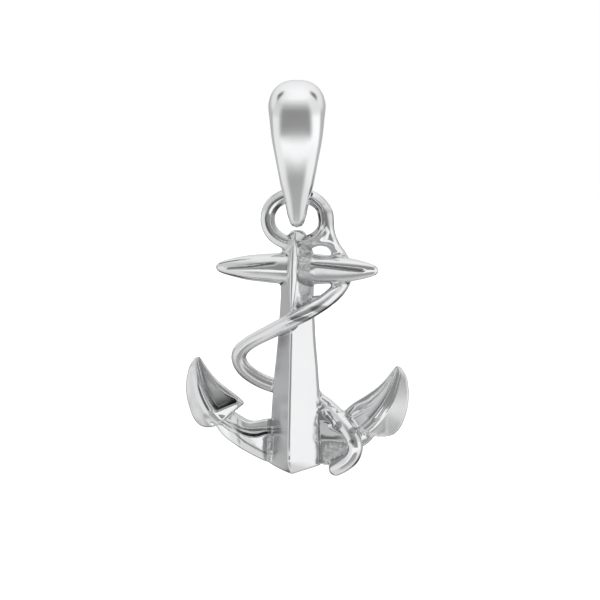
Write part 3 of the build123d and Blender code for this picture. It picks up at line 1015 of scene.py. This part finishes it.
def leaf_rings(side, shortfall):
    """Rings down one leaf, from the crown to the tip. Side is -1 for the front."""
    places, *shapes = columns(LEAF_SECTIONS)
    straight = 2 + np.sin(np.linspace(0, 1, 45)[1:] * np.pi / 2)
    rings = []
    for place in np.concatenate([np.linspace(0, 2, 61), straight]):
        breadth, dome, thin, power, lift = [float(smooth(place, places, shape)) for shape in shapes]
        out, height, slope = leaf_place(place, shortfall)
        half = BAIL_WIDTH / 2 * breadth
        rise = half * dome * CROWN_DOME / (BAIL_WIDTH / 2)
        if side > 0:
            rise *= 1 - BACK_LEAF_FLATTER * ease(place, 1.4, 2.2)
        edge = LEAF_EDGE + (LEAF_TIP_EDGE - LEAF_EDGE) * thin
        wall = LEAF_WALL + (LEAF_TIP_WALL - LEAF_WALL) * thin
        x, y = leaf_ring(half, rise, edge, wall, power).T
        y = y + lift
        rings.append(np.stack([x, side * (out + y * cos(slope)), height - y * sin(slope)], 1))
    return rings


def make_strip():
    """The whole strip: up the front leaf, over the crown and down the back one."""
    front = leaf_rings(-1, FRONT_LEAF_SHORTFALL)
    back = leaf_rings(1, 0)
    rings = front[::-1] + back[1:]
    count = len(rings[0])
    faces = []
    for row in range(len(rings) - 1):
        for i in range(count):
            j = (i + 1) % count
            low, high = row * count, (row + 1) * count
            faces.append((low + i, low + j, high + j, high + i))
    faces.append(tuple(range(count))[::-1])
    last = (len(rings) - 1) * count
    faces.append(tuple(range(last, last + count)))
    return np.concatenate(rings), faces


def make_tip_web(first):
    """The solder that joins the leaves below the wire, with a round saddle on top.
    Its points are numbered from first."""
    slope, _, start_z = leaf_line()
    sunk = LEAF_TIP_WALL / 2 / cos(slope)
    foot = BAIL_TIP_Z + LEAF_TIP_EDGE
    places, breadths, *_ = columns(LEAF_SECTIONS)
    across = np.linspace(-1, 1, 13)
    ups = np.linspace(0, 1, 9)
    points = []
    for up in ups:
        for share in across:
            top = BAIL_TIP_Z + TIP_WEB_HEIGHT + TIP_WEB_SADDLE_RISE * share**2
            z = foot + (top - foot) * up
            y = share * (BAIL_TIP_HALF_DEPTH + (z - BAIL_TIP_Z) * tan(slope) - sunk)
            place = 2 + (start_z - z) / (start_z - BAIL_TIP_Z)
            x = BAIL_WIDTH / 2 * TIP_WEB_WIDTH_SHARE * smooth(place, places, breadths)
            points += [(-x, y, z), (x, y, z)]
    wide = len(across)
    faces = []
    for j in range(len(ups) - 1):
        for i in range(wide - 1):
            a, b = 2 * (j * wide + i), 2 * ((j + 1) * wide + i)
            faces.append((a, b, b + 2, a + 2))
            faces.append((a + 1, a + 3, b + 3, b + 1))
        for i in (0, wide - 1):
            a, b = 2 * (j * wide + i), 2 * ((j + 1) * wide + i)
            faces.append((a, a + 1, b + 1, b) if i == 0 else (a, b, b + 1, a + 1))
    for j in (0, len(ups) - 1):
        for i in range(wide - 1):
            a = 2 * (j * wide + i)
            faces.append((a, a + 2, a + 3, a + 1) if j == 0 else (a, a + 1, a + 3, a + 2))
    return np.array(points), [tuple(first + i for i in face) for face in faces]


def make_bail():
    points, faces = make_strip()
    web_points, web_faces = make_tip_web(len(points))
    return new_mesh("bail_strip", np.concatenate([points, web_points]), faces + web_faces)


def feed(tree, node, inputs):
    """Links each input to another node's output, or sets it to a plain value."""
    for place, value in inputs.items():
        if isinstance(value, bpy.types.NodeSocket):
            tree.links.new(value, node.inputs[place])
        else:
            node.inputs[place].default_value = value
    return node


def add_node(tree, kind, inputs):
    return feed(tree, tree.nodes.new("ShaderNode" + kind), inputs)


def math(tree, operation, *values):
    node = tree.nodes.new("ShaderNodeMath")
    node.operation = operation
    return feed(tree, node, dict(enumerate(values))).outputs[0]


def blend(tree, share, first, other):
    """A colour that turns from the first into the other one as the share grows."""
    node = tree.nodes.new("ShaderNodeMix")
    node.data_type = "RGBA"
    return feed(tree, node, {0: share, 6: first, 7: other}).outputs[2]


# The silver's colour where it is satin or rough, and the colour of its painted shade and painted dark
# reflections
SATIN_COLOUR = (0.75, 0.753, 0.76, 1)
CAST_COLOUR = (0.70, 0.705, 0.71, 1)
PAINTED_SHADE_COLOUR = (0.03, 0.03, 0.032, 1)


def polished_silver(name, grey, smoothest, satin, cast):
    """Silver with fine polishing marks. Satin and cast are what the roughness gains
    where a mesh has those shares, and its rough casting stands out in bumps too."""
    material = bpy.data.materials.new(name)
    material.use_nodes = True
    tree = material.node_tree
    where = add_node(tree, "TexCoord", {}).outputs["Object"]

    def noise(scale, detail):
        inputs = {"Vector": where, "Scale": scale, "Detail": detail}
        return add_node(tree, "TexNoise", inputs).outputs["Fac"]

    def share(name):
        node = tree.nodes.new("ShaderNodeAttribute")
        node.attribute_name = name
        return node.outputs["Fac"]

    marks = noise(2500.0, 4.0)
    clouds = noise(420.0, 2.0)
    grain = noise(7000.0, 3.0)
    satin_faces = share("satin")
    rough_cast = share("rough_cast")
    tone = add_node(tree, "ValToRGB", {"Fac": clouds})
    tone.color_ramp.elements[0].color = (grey - 0.03, grey - 0.025, grey - 0.015, 1)
    tone.color_ramp.elements[1].color = (grey + 0.03, grey + 0.033, grey + 0.04, 1)
    colour = blend(tree, satin_faces, tone.outputs["Color"], SATIN_COLOUR)
    colour = blend(tree, math(tree, "MULTIPLY", rough_cast, 0.6), colour, CAST_COLOUR)
    # Painted shade and painted dark reflections darken the colour here
    colour = blend(tree, share("painted_shade_and_reflection"), colour, PAINTED_SHADE_COLOUR)
    rough = math(tree, "MULTIPLY_ADD", marks, 0.05, smoothest)
    rough = math(tree, "MULTIPLY_ADD", satin_faces, satin, rough)
    rough = math(tree, "MULTIPLY_ADD", rough_cast, cast, rough)
    bumps = math(tree, "MULTIPLY", grain, rough_cast)
    bump = add_node(tree, "Bump", {"Strength": 0.6, "Distance": 0.0001, "Height": bumps})
    inputs = {"Metallic": 1.0, "Base Color": colour, "Roughness": rough, "Normal": bump.outputs[0]}
    feed(tree, tree.nodes["Principled BSDF"], inputs)
    return material


# The studio's grey levels by height, as degrees above the horizon
STUDIO_FRONT = [
    (-90, 0.85), (-65, 0.62), (-50, 0.42), (-31, 0.37), (-25, 1.05), (-14, 1.10), (-9, 0.29),
    (24, 0.29), (37, 0.45), (52, 0.74), (64, 1.0), (90, 1.0),
]
STUDIO_RIGHT = [
    (-90, 0.85), (-60, 0.75), (-45, 0.80), (-22, 0.98), (-12, 1.08), (4, 1.06), (24, 0.78),
    (40, 0.80), (55, 0.85), (66, 1.0),
]
STUDIO_LEFT = [
    (-90, 0.85), (-60, 0.75), (-37, 0.80), (-20, 0.88), (4, 0.85), (14, 0.70), (37, 0.66),
    (60, 0.90), (90, 1.0),
]
STUDIO_BACK = [
    (-90, 0.85), (-50, 0.52), (-20, 0.50), (8, 0.48), (22, 0.80), (50, 0.90), (90, 1.0),
]

# Where one side of the studio takes over from another, as degrees to the right of
# the front, with the share that it has taken
TO_RIGHT = [(26, 0.0), (51, 1.0)]
TO_LEFT = [(-66, 1.0), (-36, 0.0)]
TO_BACK = [(-109, 1.0), (-97, 0.0), (84, 0.0), (104, 1.0)]

# Pairs of dark cards, one on either side: each one's places around and in height,
# where it starts, is whole, is last whole and ends, and the pair's grey
CARDS = [
    ((-162, -154, -134, -124, 98, 108, 150, 160), (-62, -54, -26, -18), 0.04),
    ((-127, -116, -102, -91, 91, 102, 116, 127), (34, 45, 55, 67), 0.12),
]
CARD_SHARES = (0.0, 1.0, 1.0, 0.0)


def make_studio():
    """A soft studio: white overhead and at the sides, greyer before and behind."""
    world = bpy.data.worlds.new("studio")
    bpy.context.scene.world = world
    world.use_nodes = True
    tree = world.node_tree
    tree.nodes.clear()

    def ramp(value, stops, whole):
        """Grey levels at stops in degrees, of which the value covers a whole number."""
        node = add_node(tree, "ValToRGB", {"Fac": value})
        node.color_ramp.interpolation = "EASE"
        elements = node.color_ramp.elements
        while len(elements) < len(stops):
            elements.new(0.5)
        for element, (place, grey) in zip(elements, stops):
            element.position = 0.5 + place / whole
            element.color = (grey, grey, grey, 1)
        return node.outputs["Color"]

    where = add_node(tree, "TexCoord", {}).outputs["Generated"]
    x, y, z = add_node(tree, "SeparateXYZ", {"Vector": where}).outputs
    climb = math(tree, "DIVIDE", math(tree, "ARCSINE", z), radians(180))
    height = math(tree, "ADD", climb, 0.5)
    turn = math(tree, "ARCTAN2", x, math(tree, "MULTIPLY", y, -1.0))
    side = math(tree, "ADD", math(tree, "DIVIDE", turn, radians(360)), 0.5)

    room = ramp(height, STUDIO_FRONT, 180)
    sides = [(TO_RIGHT, STUDIO_RIGHT), (TO_LEFT, STUDIO_LEFT), (TO_BACK, STUDIO_BACK)]
    for taking_over, greys in sides:
        room = blend(tree, ramp(side, taking_over, 360), room, ramp(height, greys, 180))
    for around, heights, grey in CARDS:
        across = ramp(side, list(zip(around, 2 * CARD_SHARES)), 360)
        upward = ramp(height, list(zip(heights, CARD_SHARES)), 180)
        room = blend(tree, math(tree, "MULTIPLY", across, upward), room, (grey, grey, grey, 1))
    light = add_node(tree, "Background", {"Color": room}).outputs[0]
    backdrop = add_node(tree, "Background", {"Color": (1, 1, 1, 1)}).outputs[0]
    seen = add_node(tree, "LightPath", {}).outputs["Is Camera Ray"]
    shown = add_node(tree, "MixShader", {"Fac": seen, 1: light, 2: backdrop}).outputs[0]
    add_node(tree, "OutputWorld", {"Surface": shown})


# Camera: the photograph is 600 pixels wide, level with the anchor but for a few
# degrees, and its scale is in millimetres a pixel
PHOTO_SIZE = 600
PIXEL = 26.0 / 394.5
CREST_PIXEL = (297, 80)
CAMERA_LIFT = radians(3)
CAMERA_LENS = 220


def make_camera():
    camera = bpy.data.objects.new("camera", bpy.data.cameras.new("camera"))
    bpy.context.collection.objects.link(camera)
    camera.data.lens = CAMERA_LENS
    camera.data.clip_start = 0.01
    width = PHOTO_SIZE * PIXEL
    distance = width * CAMERA_LENS / camera.data.sensor_width
    up = Vector((0, sin(CAMERA_LIFT), cos(CAMERA_LIFT)))
    back = Vector((0, -cos(CAMERA_LIFT), sin(CAMERA_LIFT)))
    sideways = (PHOTO_SIZE / 2 - CREST_PIXEL[0]) * PIXEL
    raised = CREST_Z - (PHOTO_SIZE / 2 - CREST_PIXEL[1]) * PIXEL
    camera.location = (Vector((1, 0, 0)) * sideways + up * raised + back * distance) * MM
    camera.rotation_euler = (-back).to_track_quat("-Z", "Y").to_euler()
    bpy.context.scene.camera = camera


def make_floor():
    bpy.ops.mesh.primitive_plane_add(size=4.0, location=(0, 0, -0.060))
    floor = bpy.context.object
    floor.name = "floor"
    floor.visible_glossy = False
    material = bpy.data.materials.new("pale_floor")
    material.use_nodes = True
    tree = material.node_tree
    glow = {"Emission Color": (1, 1, 1, 1), "Emission Strength": 0.6}
    feed(tree, tree.nodes["Principled BSDF"], {"Base Color": (0.9, 0.9, 0.9, 1), **glow})
    floor.data.materials.append(material)


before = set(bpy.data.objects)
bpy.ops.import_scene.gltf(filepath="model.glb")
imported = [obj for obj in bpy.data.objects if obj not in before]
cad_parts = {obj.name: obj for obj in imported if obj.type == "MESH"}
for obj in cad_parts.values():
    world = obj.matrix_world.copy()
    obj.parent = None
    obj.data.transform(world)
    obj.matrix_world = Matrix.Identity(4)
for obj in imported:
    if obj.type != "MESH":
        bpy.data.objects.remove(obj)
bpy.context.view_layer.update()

anchor = make_anchor()
anchor.data.materials.append(polished_silver("anchor_polish", 0.84, 0.04, 0.26, 0.30))
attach(anchor, "anchor")
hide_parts("anchor")

bail = make_bail()
bail.data.materials.append(polished_silver("bail_polish", 0.93, 0.16, 0.0, 0.0))
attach(bail, "bail")
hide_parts("bail")

make_studio()
make_camera()
make_floor()
bpy.context.scene.view_settings.view_transform = "Standard"
